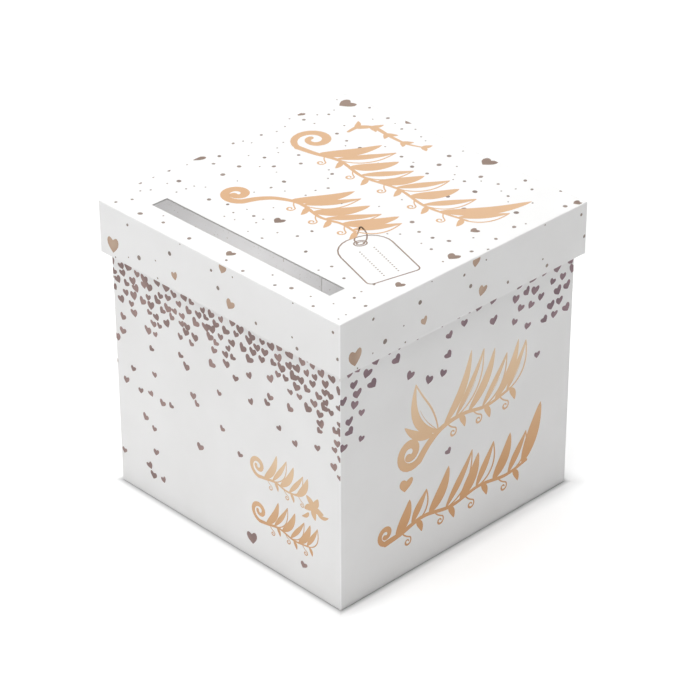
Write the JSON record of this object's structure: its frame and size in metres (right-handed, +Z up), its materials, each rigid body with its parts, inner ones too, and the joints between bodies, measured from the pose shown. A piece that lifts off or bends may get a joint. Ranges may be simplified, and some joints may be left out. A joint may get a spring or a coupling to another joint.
{
  "type": "wedding card box",
  "caption": "Square box of folded white board with a lift-off lid, a slot in the lid for envelopes and a base of interlocking flaps.",
  "frame": {"origin": "on the floor, under the middle of the box", "axes": "+Z is up, -Y is the front, which is the side nearest to the slot, and +X is to the right as seen from the front"},
  "size_m": [0.31, 0.31, 0.3],
  "materials": {
    "printed_board": "satin",
    "inner_board": "matte"
  },
  "bodies": {
    "box_body": {"wall_front": "printed_board", "wall_right": "printed_board", "wall_back": "printed_board", "wall_left": "printed_board", "seam_tab": "inner_board"},
    "lid": {"lid_top": "printed_board", "lid_side_front": "printed_board", "lid_hem_front": "printed_board", "lid_lining_front": "inner_board", "lid_side_right": "printed_board", "lid_hem_right": "printed_board", "lid_lining_right": "inner_board", "lid_side_back": "printed_board", "lid_hem_back": "printed_board", "lid_lining_back": "inner_board", "lid_side_left": "printed_board", "lid_hem_left": "printed_board", "lid_lining_left": "inner_board", "lid_corner_tab_front_right": "inner_board", "lid_corner_tab_front_left": "inner_board", "lid_corner_tab_back_left": "inner_board", "lid_corner_tab_back_right": "inner_board"},
    "front_flap": {"base_flap_front": "printed_board"},
    "right_flap": {"base_flap_right": "printed_board"},
    "back_flap": {"base_flap_back": "printed_board"},
    "left_flap": {"base_flap_left": "printed_board"}
  },
  "joints": [
    {"name": "lid_lift", "type": "slide", "parent": "box_body", "child": "lid", "axis": [0, 0, 1], "range_m": [0, 0.15]},
    {"name": "front_flap_fold", "type": "hinge", "parent": "box_body", "child": "front_flap", "pos_m": [0, -0.148, 0], "axis": [-1, 0, 0], "range_deg": [0, 90]},
    {"name": "right_flap_fold", "type": "hinge", "parent": "box_body", "child": "right_flap", "pos_m": [0.148, 0, 0], "axis": [0, -1, 0], "range_deg": [0, 90]},
    {"name": "back_flap_fold", "type": "hinge", "parent": "box_body", "child": "back_flap", "pos_m": [0, 0.148, 0], "axis": [1, 0, 0], "range_deg": [0, 90]},
    {"name": "left_flap_fold", "type": "hinge", "parent": "box_body", "child": "left_flap", "pos_m": [-0.148, 0, 0], "axis": [0, 1, 0], "range_deg": [0, 90]}
  ],
  "couplings": [
    {"joint": "right_flap_fold", "follows": "front_flap_fold", "ratio": 1},
    {"joint": "back_flap_fold", "follows": "front_flap_fold", "ratio": 1},
    {"joint": "left_flap_fold", "follows": "front_flap_fold", "ratio": 1}
  ]
}
